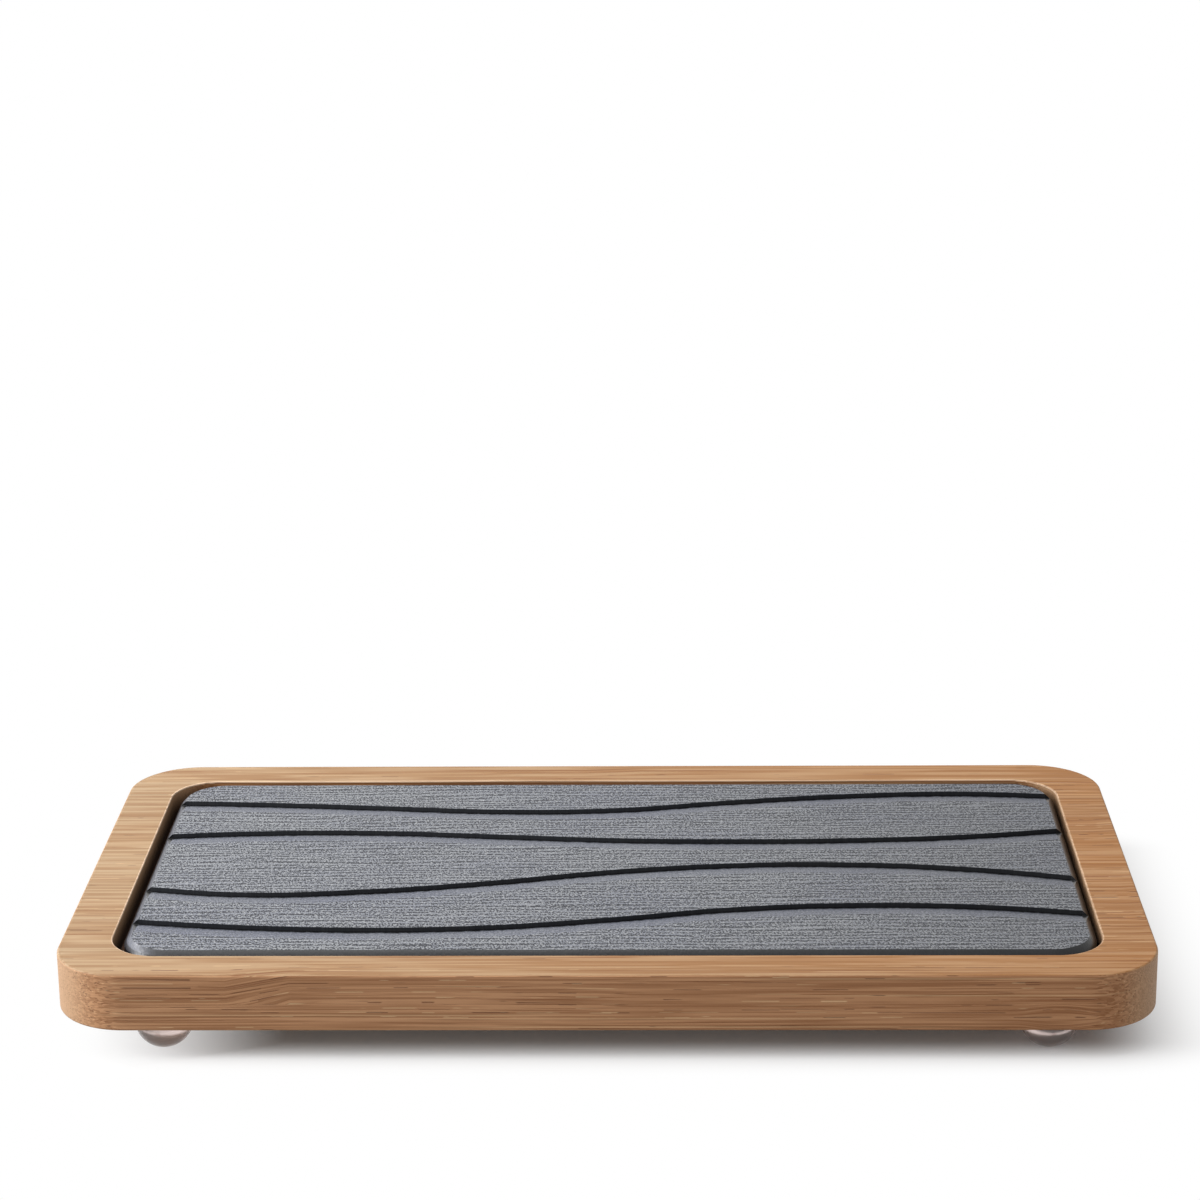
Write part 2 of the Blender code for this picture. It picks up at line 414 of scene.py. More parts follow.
def makeGrooveCutter(number, wallShares, low, high):
    # the wall's line drawn as a smooth curve, then pulled along the section step by step
    deselectAll()
    bpy.ops.curve.primitive_bezier_curve_add(location=(0, 0, 0))
    curve = bpy.context.object
    curve.name = "grooveCutter%d" % number
    spline = curve.data.splines[0]
    spline.bezier_points.add(len(wallShares) - len(spline.bezier_points))
    centre, size = (low + high) / 2, high - low
    for point, stationShare, wallShare in zip(spline.bezier_points, plateLook["stationShares"], wallShares):
        point.co = (centre.x + size.x * stationShare, centre.y + size.y * wallShare, high.z)
        point.handle_left_type = "AUTO"
        point.handle_right_type = "AUTO"
    curve.data.resolution_u = plateLook["waveSteps"]
    bpy.ops.object.convert(target="MESH")
    cutter = bpy.context.object
    section = grooveSection()
    setMode("EDIT")
    selectAll()
    bpy.ops.transform.vertex_random(offset=plateLook["wander"], uniform=1, seed=number)
    bpy.ops.transform.translate(value=(0, section[0][0], section[0][1]))
    for before, after in zip(section, section[1:]):
        step = (0, after[0] - before[0], after[1] - before[1])
        bpy.ops.mesh.extrude_region_move(TRANSFORM_OT_translate={"value": step})
    bpy.ops.mesh.select_mode(type="EDGE")
    bpy.ops.mesh.select_all(action="DESELECT")
    shape = bmesh.from_edit_mesh(cutter.data)
    ends = (min(vert.co.x for vert in shape.verts), max(vert.co.x for vert in shape.verts))
    for edge in shape.edges:
        middle = (edge.verts[0].co.x + edge.verts[1].co.x) / 2
        atEnd = min(abs(middle - end) for end in ends) < plateLook["overrun"]
        if edge.is_boundary and not atEnd:
            edge.select_set(True)
    bmesh.update_edit_mesh(cutter.data)
    bpy.ops.mesh.bridge_edge_loops()
    selectAll()
    bpy.ops.mesh.fill_holes(sides=0)
    closeShape()
    return cutter


def makeStonePlate():
    low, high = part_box("stone_plate")
    radius, steps = plateLook["cornerRadius"], plateLook["cornerSteps"]
    plate = roundedOutline("stonePlate", low, high, high.z, radius, steps)
    pullDown(high.z - low.z)
    topRound, topSteps = plateLook["topRound"], plateLook["topSteps"]
    bevelWhere(plate, edgeAt(high.z), topRound, topSteps, plateLook["topProfile"])
    bevelWhere(plate, edgeAt(low.z), plateLook["bottomRound"], plateLook["bottomSteps"])
    for number, wallShares in enumerate(plateLook["wallShares"], start=1):
        cutter = makeGrooveCutter(number, wallShares, low, high)
        applyModifier(plate, "BOOLEAN", operation="DIFFERENCE", solver="EXACT", object=cutter)
        bpy.data.objects.remove(cutter)

    def isLand(face):
        drop = abs(face.calc_center_median().z - high.z)
        return face.normal.z > plateLook["landNormal"] and drop < plateLook["landSlack"]

    def isLip(edge):
        # where a land ends at a groove's upright wall
        lands = [face for face in edge.link_faces if isLand(face)]
        walls = [face for face in edge.link_faces if abs(face.normal.z) < plateLook["lipWallNormal"]]
        return len(lands) == 1 and len(walls) == 1

    bevelWhere(plate, isLip, plateLook["lipRound"], plateLook["lipSteps"])
    return plate, isLand


def splitStoneFaces(plate, isLand, materials):
    # ground ramps, brushed lands, dark groove walls and a honed edge all round, in that order
    low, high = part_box("stone_plate")
    centre, half = (low + high) / 2, (high - low) / 2
    radius = plateLook["cornerRadius"]

    def isAtEdge(face):
        place = face.calc_center_median() - centre
        past = Vector((max(abs(place.x) - half.x + radius, 0), max(abs(place.y) - half.y + radius, 0)))
        return past.length > radius - plateLook["topRound"] - plateLook["edgeSlack"] and not isLand(face)

    def isWall(face):
        return abs(face.normal.z) < plateLook["wallNormal"]

    for material in materials:
        plate.data.materials.append(material)
    setMode("EDIT")
    paintFaces(plate, (isLand, isWall, isAtEdge))
    pick(plate, "EDGE", lambda edge: len({face.material_index for face in edge.link_faces}) > 1)
    bpy.ops.mesh.mark_sharp()
    setMode("OBJECT")


# Clear domed feet
footLook = {
    "radius": 7.0 * mm,
    "contactRadius": 1.2 * mm,
    "sides": 72,
    "domeSteps": 24,
    "seatRound": 0.25 * mm,
    "roundSteps": 4,
    "sharpAngle": 40,
}


def domeSection(height):
    # the foot's outline from the contact disc's rim up to the seat, as (radius, height) points
    radius, seat = footLook["radius"], footLook["seatRound"]
    first = math.asin(footLook["contactRadius"] / radius)
    last = math.acos(seat / radius)
    points = []
    for step in range(footLook["domeSteps"] + 1):
        angle = first + (last - first) * step / footLook["domeSteps"]
        points.append((radius * math.sin(angle), height - radius * math.cos(angle)))
    points[0] = (footLook["contactRadius"], 0)
    seatEdge = points[-1][0] - seat
    for step in range(1, footLook["roundSteps"] + 1):
        angle = math.pi / 2 * step / footLook["roundSteps"]
        points.append((seatEdge + seat * math.cos(angle), height - seat + seat * math.sin(angle)))
    return points


def seatCentre(node):
    # the middle of a foot's seat, at its top
    low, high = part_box(node)
    return Vector(((low.x + high.x) / 2, (low.y + high.y) / 2, high.z))


def makeFirstFoot(node):
    # a small disc pulled up into a dome, ring by ring
    centre = seatCentre(node)
    section = domeSection(centre.z)
    deselectAll()
    bpy.ops.mesh.primitive_circle_add(
        vertices=footLook["sides"], radius=section[0][0], fill_type="NGON", location=(centre.x, centre.y, 0)
    )
    foot = bpy.context.object
    bpy.ops.object.transform_apply()
    setMode("EDIT")
    selectAll()
    for (oldRadius, oldHeight), (radius, height) in zip(section, section[1:]):
        grow = radius / oldRadius
        bpy.ops.mesh.extrude_region_move(TRANSFORM_OT_translate={"value": (0, 0, height - oldHeight)})
        bpy.ops.transform.resize(value=(grow, grow, 1), center_override=(centre.x, centre.y, height))
    closeShape()
    finishShape(foot, footLook["sharpAngle"])
    return foot, centre


def makeFeet(material):
    nodes = sorted(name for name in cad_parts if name.startswith("foot_"))
    first, firstCentre = makeFirstFoot(nodes[0])
    first.data.materials.append(material)
    feet = []
    for node in nodes:
        foot = first
        if node != nodes[0]:
            foot = first.copy()
            foot.data = first.data.copy()
            bpy.context.scene.collection.objects.link(foot)
            foot.data.transform(Matrix.Translation(seatCentre(node) - firstCentre))
        foot.name = "clearFoot" + "".join(word.capitalize() for word in node.split("_")[1:])
        feet.append((foot, node))
    return feet


# Bamboo: laminated strips, fibre bundles along X
bambooLook = {
    "oiled": (("#b69b7b", "#b97d44"), ("#d4a47c", "#a66d42")),
    "routed": (("#b98354", "#8a5733"), ("#b98354", "#8a5733")),
    # a painted highlight for the window's top arris
    "sanded": (("#ecd0b2", "#d4a57c"), ("#ecd0b2", "#d4a57c")),
    # painted shade for the recess floor in the gaps
    "milled": (("#6a4a34", "#4c3222"), ("#6a4a34", "#4c3222")),
    # painted shade for the window's wall, down into the gap
    "scorched": "#3a2a20",
    "scorchDepth": 5.5,
    # leftShare, rightShare and sideEndShare set a painted light and sheen along the board
    "leftShare": -0.28,
    "rightShare": 0.26,
    "sideEndShare": 0.5,
    # the pale tint under each open stroke is a painted highlight
    "tints": {
        "node": ("#a56f45", 0.1), "bundle": ("#8a5129", 0.58), "lip": ("#ecc99c", 0.8),
        "paleLine": ("#ecc99c", 0.4), "stroke": ("#5c341e", 0.65), "joint": ("#5c341e", 1.0),
    },
    "stripWidth": 27.0,
    "stripShift": {"rim": 8.0, "base": 20.0},
    "stripGain": (0.0, 1.0, 0.96, 1.04),
    "joint": (0.0, 0.006, 0.35, 0.0),
    "topNormal": 0.7,
    "topStretch": 2.8,
    "endSoftness": 0.25,
    "endPaler": -0.38,
    "endTint": "#c6a98a",
    "endTintShare": 0.45,
    "endGrain": (0.3, 0.85, 0.0, 1.0),
    "driftScale": (0.012, 0.12, 0.12),
    "driftReach": 0.8,
    "bandSize": (220.0, 2.5, 2.5),
    "bandShare": (0.36, 0.64, -0.05, 0.05),
    "bundlePitch": 0.52,
    "bundleRun": 42.0,
    "bundleDot": (0.12, 0.28, 1.0, 0.0),
    "bundleFade": (0.42, 0.62, 0.1, 1.0),
    "finePitch": 0.36,
    "fineRun": 40.0,
    "fineShare": (0.40, 0.60, 0.68, 0.32),
    "fineGain": (0.40, 0.60, -0.11, 0.11),
    "endFineShare": 0.3,
    "topFineShare": 1.35,
    "seedSpread": 90.0,
    "strokeLine": (0.10, 0.24, 1.0, 0.0),
    "lipLine": (0.07, 0.20, 1.0, 0.0),
    "openRange": 0.04,
    "topStrokeShare": 0.5,
    "strokes": {"pitch": 0.55, "run": 9.0, "lipOffset": 0.24, "away": 0.585, "atNode": 0.465},
    "pits": {"pitch": 1.15, "run": 26.0, "lipOffset": 0.40, "away": 1.2, "atNode": 0.44},
    "nodeNear": (0.4, 1.1, 1.0, 0.0),
    "ridgeNear": (0.8, 2.2, 1.0, 0.0),
    "pittedSide": (-9.0, -2.0, 1.0, 0.0),
    "leanRun": 15.0,
    "leanFade": (0.3, 1.2),
    "paleLine": (0.06, 0.22, 1.0, 0.0),
    "paleCoreShare": 0.5,
    "paleLines": (
        (11.3, -60.0, 70.0), (10.4, 5.0, 65.0), (16.2, 85.0, 45.0), (20.4, 75.0, 50.0), (8.3, 20.0, 75.0),
    ),
    "roughness": 0.6,
    "gloss": 0.3,
    "refraction": 1.5,
    "bumpStrength": 0.8,
    "bumpDepth": 0.08 * mm,
    "culmNodes": {
        "rim": (
            ((-88.0, -69.0, 18.5), (42.0, 7.0, 7.0), (0.0, 0.2)),
            ((124.0, 24.0, 18.0), (15.0, 18.0, 9.0), (0.0, 0.12)),
            ((126.0, -28.0, 18.0), (15.0, 28.0, 9.0), (0.0, 0.12)),
            ((-8.0, 66.0, 18.0), (18.0, 6.0, 5.0), (0.0, 0.15)),
        ),
        "base": (
            ((105.0, -69.0, 10.5), (10.0, 5.0, 4.0), (0.5, 0.0)),
            ((-30.0, 60.0, 10.0), (20.0, 12.0, 4.5), (0.0, 0.2)),
            ((-60.0, -20.0, 9.0), (20.0, 12.0, 6.0), (0.0, 0.2)),
        ),
    },
}


def grainRuns(tree, place, pitch, runLength):
    # cells across the grain, and for each one a noise of its own that runs along the grain
    parts = addNode(tree, "SeparateXYZ", {0: place}).outputs
    across = result(tree, "CombineXYZ", {0: parts[1], 1: parts[2]})
    cells = addNode(
        tree, "TexVoronoi", {"Vector": across, "Scale": 1 / pitch}, feature="F1", voronoi_dimensions="2D"
    ).outputs
    along = result(tree, "Math", {0: parts[0], 1: runLength}, operation="DIVIDE")
    seed = result(tree, "VectorMath", {0: cells["Color"], 3: bambooLook["seedSpread"]}, operation="SCALE")
    seeds = addNode(tree, "SeparateXYZ", {0: seed}).outputs
    at = result(tree, "CombineXYZ", {0: along, 1: seeds[0], 2: seeds[1]})
    run = result(tree, "TexNoise", {"Vector": at, "Scale": 1.0, "Detail": 1.0})
    return cells["Distance"], run


def openStrokes(tree, bent, kind, knot):
    # the masks of open strokes along the grain, commoner at a node, and of a thin painted highlight under
    # each, where its lower lip would catch the light
    runFrom = result(tree, "MapRange", {0: knot, ramp: (0.0, 1.0, kind["away"], kind["atNode"])})
    runTo = result(tree, "Math", {0: runFrom, 1: bambooLook["openRange"]}, operation="ADD")
    masks = []
    for offset, limits in ((0.0, bambooLook["strokeLine"]), (kind["lipOffset"], bambooLook["lipLine"])):
        moved = result(tree, "VectorMath", {0: bent, 1: (0.0, offset, offset)}, operation="ADD")
        distance, run = grainRuns(tree, moved, kind["pitch"], kind["run"])
        line = result(tree, "MapRange", {0: distance, ramp: limits}, **smooth)
        lit = result(tree, "MapRange", {0: run, ramp: (runFrom, runTo, 0.0, 1.0)}, **smooth)
        masks.append(result(tree, "Math", {0: line, 1: lit}, operation="MULTIPLY"))
    return masks


def culmNodeMasks(tree, inMm, culmNodes):
    # how near a culm node is, its smooth ridge, the pitted side before the ridge, and how far
    # the fibres are pushed aside there
    look = bambooLook
    acrossOnly = (0.0, 1.0, 1.0)
    knot, ridge, pitted, push = 0.0, 0.0, 0.0, (0.0, 0.0, 0.0)
    for middle, reach, (bow, slope) in culmNodes:
        apart = result(tree, "VectorMath", {0: inMm, 1: middle}, operation="SUBTRACT")
        scaled = result(tree, "VectorMath", {0: apart, 1: reach}, operation="DIVIDE")
        far = result(tree, "VectorMath", {0: scaled}, operation="LENGTH")
        near = result(tree, "MapRange", {0: far, ramp: look["nodeNear"]}, **smooth)
        offset = result(tree, "SeparateXYZ", {0: apart})
        aside = result(tree, "Math", {0: offset}, operation="ABSOLUTE")
        onRidge = result(tree, "MapRange", {0: aside, ramp: look["ridgeNear"]}, **smooth)
        ridgeNear = result(tree, "Math", {0: onRidge, 1: near}, operation="MULTIPLY")
        knot = result(tree, "Math", {0: knot, 1: near}, operation="MAXIMUM")
        ridge = result(tree, "Math", {0: ridge, 1: ridgeNear}, operation="MAXIMUM")
        if bow:
            # the fibres bow round a bud
            pull = result(tree, "Math", {0: near, 1: bow}, operation="MULTIPLY")
            pulled = result(tree, "VectorMath", {0: apart, 3: pull}, operation="SCALE")
            shift = result(tree, "VectorMath", {0: pulled, 1: acrossOnly}, operation="MULTIPLY")
        else:
            # the fibres climb away from the ridge on one side
            run = result(tree, "MapRange", {0: offset, ramp: (0.0, look["leanRun"], 0.0, look["leanRun"])})
            level = result(tree, "VectorMath", {0: scaled, 1: acrossOnly}, operation="MULTIPLY")
            off = result(tree, "VectorMath", {0: level}, operation="LENGTH")
            beside = result(tree, "MapRange", {0: off, ramp: (*look["leanFade"], slope, 0.0)}, **smooth)
            climb = result(tree, "Math", {0: run, 1: beside}, operation="MULTIPLY")
            shift = result(tree, "CombineXYZ", {1: climb, 2: climb})
            before = result(tree, "MapRange", {0: offset, ramp: look["pittedSide"]})
            openShare = result(tree, "Math", {0: before, 1: near}, operation="MULTIPLY")
            pitted = result(tree, "Math", {0: pitted, 1: openShare}, operation="MAXIMUM")
        push = result(tree, "VectorMath", {0: push, 1: shift}, operation="ADD")
    return knot, ridge, pitted, push


def paleLineMask(tree, parts, sideShare):
    # long pale fibres along the sides, each one at a height, round a middle and as far as it reaches
    shown = 0.0
    for height, middle, reach in bambooLook["paleLines"]:
        offset = result(tree, "Math", {0: parts[2], 1: height}, operation="SUBTRACT")
        apart = result(tree, "Math", {0: offset}, operation="ABSOLUTE")
        line = result(tree, "MapRange", {0: apart, ramp: bambooLook["paleLine"]})
        away = result(tree, "Math", {0: parts[0], 1: middle}, operation="SUBTRACT")
        far = result(tree, "Math", {0: away}, operation="ABSOLUTE")
        core = bambooLook["paleCoreShare"] * reach
        within = result(tree, "MapRange", {0: far, ramp: (core, reach, 1.0, 0.0)})
        mask = result(tree, "Math", {0: line, 1: within}, operation="MULTIPLY")
        shown = result(tree, "Math", {0: shown, 1: mask}, operation="MAXIMUM")
    return result(tree, "Math", {0: shown, 1: sideShare}, operation="MULTIPLY")


def bambooMaterial(name, ply, ground, paintedShadeFrom=None):
    # Laminated moso bamboo, planed, sanded and oiled: straw-gold ground with orange-brown
    # fibre bundles that run as lines along the strips and show as dots on end grain; satin.
    look = bambooLook
    material, tree, place = newMaterial(name)
    inMm = result(tree, "VectorMath", {0: place, 3: perMm}, operation="SCALE")
    parts = addNode(tree, "SeparateXYZ", {0: inMm}).outputs
    normal = addNode(tree, "NewGeometry").outputs["True Normal"]
    facing = addNode(tree, "SeparateXYZ", {0: normal}).outputs
    upright = result(tree, "Math", {0: facing[2]}, operation="ABSOLUTE")
    topShare = result(tree, "Math", {0: upright, 1: look["topNormal"]}, operation="GREATER_THAN")

    # the fibres wander a little over 80 mm and are pushed aside at a culm node
    knot, ridge, pitted, push = culmNodeMasks(tree, inMm, look["culmNodes"][ply])
    driftAt = result(tree, "VectorMath", {0: inMm, 1: look["driftScale"]}, operation="MULTIPLY")
    drift = addNode(tree, "TexNoise", {"Vector": driftAt, "Scale": 1.0, "Detail": 1.0}).outputs["Color"]
    centred = result(tree, "VectorMath", {0: drift, 1: (0.5, 0.5, 0.5)}, operation="SUBTRACT")
    wander = result(tree, "VectorMath", {0: centred, 3: look["driftReach"]}, operation="SCALE")
    drifted = result(tree, "VectorMath", {0: inMm, 1: wander}, operation="ADD")
    sideShare = result(tree, "Math", {0: 1.0, 1: topShare}, operation="SUBTRACT")
    onFace = result(tree, "CombineXYZ", {1: topShare, 2: sideShare})
    pushOnFace = result(tree, "VectorMath", {0: push, 1: onFace}, operation="MULTIPLY")
    pushed = result(tree, "VectorMath", {0: drifted, 1: pushOnFace}, operation="SUBTRACT")

    # the strips lie flat, so their fibres read wider on top than on the sides
    acrossShare = result(tree, "MapRange", {0: topShare, ramp: (0.0, 1.0, 1.0, 1 / look["topStretch"])})
    spread = result(tree, "CombineXYZ", {0: 1.0, 1: acrossShare, 2: 1.0})
    bent = result(tree, "VectorMath", {0: pushed, 1: spread}, operation="MULTIPLY")

    # fibre bundles, each one fading in and out along the grain
    distance, run = grainRuns(tree, bent, look["bundlePitch"], look["bundleRun"])
    dot = result(tree, "MapRange", {0: distance, ramp: look["bundleDot"]}, **smooth)
    runShare = result(tree, "MapRange", {0: run, ramp: look["bundleFade"]})
    bundle = result(tree, "Math", {0: dot, 1: runShare}, operation="MULTIPLY")

    # short open strokes between the bundles, with long pits too at a node
    offRidge = result(tree, "Math", {0: 1.0, 1: ridge}, operation="SUBTRACT")
    strokeMasks = openStrokes(tree, bent, look["strokes"], knot)
    pitMasks = openStrokes(tree, bent, look["pits"], pitted)
    openMasks = []
    for short, long in zip(strokeMasks, pitMasks):
        both = result(tree, "Math", {0: short, 1: long}, operation="MAXIMUM")
        openMasks.append(result(tree, "Math", {0: both, 1: offRidge}, operation="MULTIPLY"))
    # the second mask is the painted highlight under each stroke
    stroke, lip = openMasks

    # fine ground fibre, broad bands, and painted light and sheen: paler towards the left end, where the
    # left lamps light it, warmer towards the right, most of all on top
    fine = grainRuns(tree, bent, look["finePitch"], look["fineRun"])[1]
    fineShare = result(tree, "MapRange", {0: fine, ramp: look["fineShare"]})
    bandScale = [1 / size for size in look["bandSize"]]
    bandAt = result(tree, "VectorMath", {0: bent, 1: bandScale}, operation="MULTIPLY")
    band = result(tree, "TexNoise", {"Vector": bandAt, "Scale": 1.0, "Detail": 1.0})
    bandShare = result(tree, "MapRange", {0: band, ramp: look["bandShare"]})
    halfLength = cadBox[1].x * perMm
    paintedFalloffLimits = (-halfLength, halfLength, look["leftShare"], look["rightShare"])
    paintedFalloffShare = result(tree, "MapRange", {0: parts[0], ramp: paintedFalloffLimits})
    paintedFalloffReach = result(tree, "MapRange", {0: topShare, ramp: (0.0, 1.0, look["sideEndShare"], 1.0)})
    topPaintedFalloff = result(tree, "Math", {0: paintedFalloffShare, 1: paintedFalloffReach}, operation="MULTIPLY")
    crosswise = result(tree, "Math", {0: facing[0]}, operation="ABSOLUTE")
    endGrain = result(tree, "MapRange", {0: crosswise, ramp: look["endGrain"]}, **smooth)
    endPaler = result(tree, "Math", {0: endGrain, 1: look["endPaler"]}, operation="MULTIPLY")
    placeShare = result(tree, "Math", {0: topPaintedFalloff, 1: endPaler}, operation="ADD")
    evenShare = result(tree, "Math", {0: fineShare, 1: placeShare}, operation="ADD")
    warmShare = result(tree, "Math", {0: evenShare, 1: bandShare}, operation="ADD", use_clamp=True)

    # the tone and joint of each glued strip
    shifted = result(tree, "Math", {0: parts[1], 1: look["stripShift"][ply]}, operation="ADD")
    stripPlace = result(tree, "Math", {0: shifted, 1: look["stripWidth"]}, operation="DIVIDE")
    stripIndex = result(tree, "Math", {0: stripPlace}, operation="FLOOR")
    stripTone = result(tree, "TexWhiteNoise", {"W": stripIndex}, noise_dimensions="1D")
    inStrip = result(tree, "Math", {0: stripPlace}, operation="FRACT")
    joint = result(tree, "MapRange", {0: inStrip, ramp: look["joint"]})

    # colour, from the ground up
    tones = []
    for pale, warm in look[ground]:
        tones.append(result(tree, "Mix", {0: warmShare, 6: pale, 7: warm}, data_type="RGBA"))
    colour = result(tree, "Mix", {0: topShare, 6: tones[1], 7: tones[0]}, data_type="RGBA")
    endShown = result(tree, "Math", {0: endGrain, 1: look["endTintShare"]}, operation="MULTIPLY")
    colour = result(tree, "Mix", {0: endShown, 6: colour, 7: look["endTint"]}, data_type="RGBA")
    onTop = result(tree, "MapRange", {0: topShare, ramp: (0.0, 1.0, 1.0, look["topStrokeShare"])})
    strokeReach = result(tree, "Math", {0: onTop, 1: knot}, operation="MAXIMUM")
    onEnd = result(tree, "MapRange", {0: endGrain, ramp: (0.0, 1.0, 1.0, look["endSoftness"])})
    bundleShown, paintedLipHighlight, strokeShown = (
        result(tree, "Math", {0: mask, 1: softer}, operation="MULTIPLY")
        for mask, softer in ((bundle, onEnd), (lip, onTop), (stroke, strokeReach))
    )
    paleLine = paleLineMask(tree, parts, sideShare)
    for kind, mask in (
        ("node", knot), ("bundle", bundleShown), ("lip", paintedLipHighlight),
        ("paleLine", paleLine), ("stroke", strokeShown), ("joint", joint),
    ):
        tint, share = look["tints"][kind]
        weight = result(tree, "Math", {0: mask, 1: share}, operation="MULTIPLY")
        colour = result(tree, "Mix", {0: weight, 6: colour, 7: tint}, data_type="RGBA")
    stripGain = result(tree, "MapRange", {0: stripTone, ramp: look["stripGain"]})
    fineGain = result(tree, "MapRange", {0: fine, ramp: look["fineGain"]})
    evenGain = result(tree, "MapRange", {0: endGrain, ramp: (0.0, 1.0, 1.0, look["endFineShare"])})
    topGain = result(tree, "MapRange", {0: topShare, ramp: (0.0, 1.0, 1.0, look["topFineShare"])})
    fineReach = result(tree, "Math", {0: evenGain, 1: topGain}, operation="MULTIPLY")
    softGain = result(tree, "Math", {0: fineGain, 1: fineReach, 2: 1.0}, operation="MULTIPLY_ADD")
    gain = result(tree, "Math", {0: stripGain, 1: softGain}, operation="MULTIPLY")
    toned = result(tree, "VectorMath", {0: colour, 3: gain}, operation="SCALE")
    if paintedShadeFrom is not None:
        # painted shade: the wall darkens from the top edge down into the gap
        limits = (paintedShadeFrom - look["scorchDepth"], paintedShadeFrom, 1.0, 0.0)
        paintedShadeShare = result(tree, "MapRange", {0: parts[2], ramp: limits})
        toned = result(tree, "Mix", {0: paintedShadeShare, 6: toned, 7: look["scorched"]}, data_type="RGBA")

    # relief: bundles and strokes lie a few hundredths below the ground fibre
    level = result(tree, "Math", {0: 1.0, 1: bundle}, operation="SUBTRACT")
    relief = result(tree, "Math", {0: level, 1: stroke}, operation="SUBTRACT")
    bump = result(
        tree, "Bump", {"Height": relief, "Strength": look["bumpStrength"], "Distance": look["bumpDepth"]}
    )
    addSurface(tree, {
        "Base Color": toned, "Roughness": look["roughness"], "IOR": look["refraction"],
        "Specular IOR Level": look["gloss"], "Normal": bump,
    })
    return material


# Stone
stoneLook = {
    "light": "#adb0b6",
    "blue": "#9296a6",
    "dark": "#2c2f38",
    "speck": "#d6d8da",
    "bristles": ((1.8, 8.0, 0.80), (2.9, 14.0, 0.20)),
    "bristleWarp": (40.0, 8.0, 1.4),
    "bristleFade": (0.38, 0.6),
    "leastBristleShare": 0.1,
    "grain": (0.40, 0.62, 0.55),
    "grainSpan": (0.36, 0.64),
    "middleShare": 0.5,
    "cloudScale": (0.03, 0.07, 0.07),
    "cloudSpan": (0.35, 0.65),
    "cloudSwing": 0.5,
    "skew": 0.37,
    # leftTone and rightTone set a painted light falloff along the plate
    "leftTone": 0.84,
    "rightTone": 0.60,
    "fadeFrom": -30.0,
    "speckSpacing": 1.5,
    "speckDot": (0.12, 0.24),
    "speckShare": 0.6,
    "flankNormal": (-0.15, -0.5),
    "refraction": 1.5,
    "bumpStrength": 0.6,
    "bumpDepth": 0.08 * mm,
    # painted shade below the brushed surface, from darkDepth up to litDepth
    "darkDepth": 1.16,
    "litDepth": 1.02,
    "darkShare": 0.25,
    "brushed": {
        "streaks": 1.0, "grain": 1.0, "blue": 0.0, "tone": 0.89, "flank": 1.0,
        "roughness": 0.55, "gloss": 0.5,
    },
    # the ramps: ground stone, painted lighter and bluer than the lands as a painted reflection of the pale
    # backdrop, which they face at a grazing view
    "ground": {
        "streaks": 0.1, "grain": 0.4, "blue": 0.5, "tone": 1.1, "flank": 1.0,
        "roughness": 0.55, "gloss": 0.5,
    },
    "sawn": {
        "streaks": 0.0, "grain": 0.08, "blue": 0.0, "tone": 0.20, "flank": 1.0,
        "roughness": 0.6, "gloss": 0.1,
    },
    # on the honed edge, flank is a painted light gain on its left flank
    "honed": {
        "streaks": 0.0, "grain": 0.2, "blue": 0.3, "tone": 0.08, "flank": 12.0,
        "roughness": 0.3, "gloss": 0.55,
    },
}


def skewedNoise(tree, inMm, length, width):
    # a smooth noise whose rows are shifted along the plate, or its cells would line up as patches
    scaled = result(tree, "VectorMath", {0: inMm, 1: (length, width, 1.0)}, operation="DIVIDE")
    cell = addNode(tree, "SeparateXYZ", {0: scaled}).outputs
    shifted = result(tree, "Math", {0: cell[1], 1: stoneLook["skew"], 2: cell[0]}, operation="MULTIPLY_ADD")
    at = result(tree, "CombineXYZ", {0: shifted, 1: cell[1]})
    return result(tree, "TexNoise", {"Vector": at, "Scale": 1.0, "Detail": 0.0}, noise_dimensions="2D")


def brushedSurface(tree, inMm, finish):
    # the brush's broken lines and the stone's grain, drawn coarser than life so that they show
    look = stoneLook
    across = addNode(tree, "SeparateXYZ", {0: inMm}).outputs[1]
    warpLength, warpWidth, warpTurns = look["bristleWarp"]
    warp = skewedNoise(tree, inMm, warpLength, warpWidth)
    warped = result(tree, "Math", {0: warp, 1: warpTurns * 2 * math.pi}, operation="MULTIPLY")
    surface = 0.0
    for pitch, runLength, swing in look["bristles"]:
        phase = result(
            tree, "Math", {0: across, 1: 2 * math.pi / pitch, 2: warped}, operation="MULTIPLY_ADD"
        )
        wave = result(tree, "Math", {0: phase}, operation="SINE")
        run = skewedNoise(tree, inMm, runLength, pitch)
        reach = swing * finish["streaks"]
        limits = (*look["bristleFade"], look["leastBristleShare"] * reach, reach)
        shown = result(tree, "MapRange", {0: run, ramp: limits})
        layer = result(tree, "Math", {0: wave, 1: shown}, operation="MULTIPLY")
        surface = result(tree, "Math", {0: surface, 1: layer}, operation="ADD")
    grainLength, grainWidth, swing = look["grain"]
    grain = skewedNoise(tree, inMm, grainLength, grainWidth)
    reach = swing * finish["grain"]
    layer = result(tree, "MapRange", {0: grain, ramp: (*look["grainSpan"], -reach, reach)})
    return result(tree, "Math", {0: surface, 1: layer}, operation="ADD")


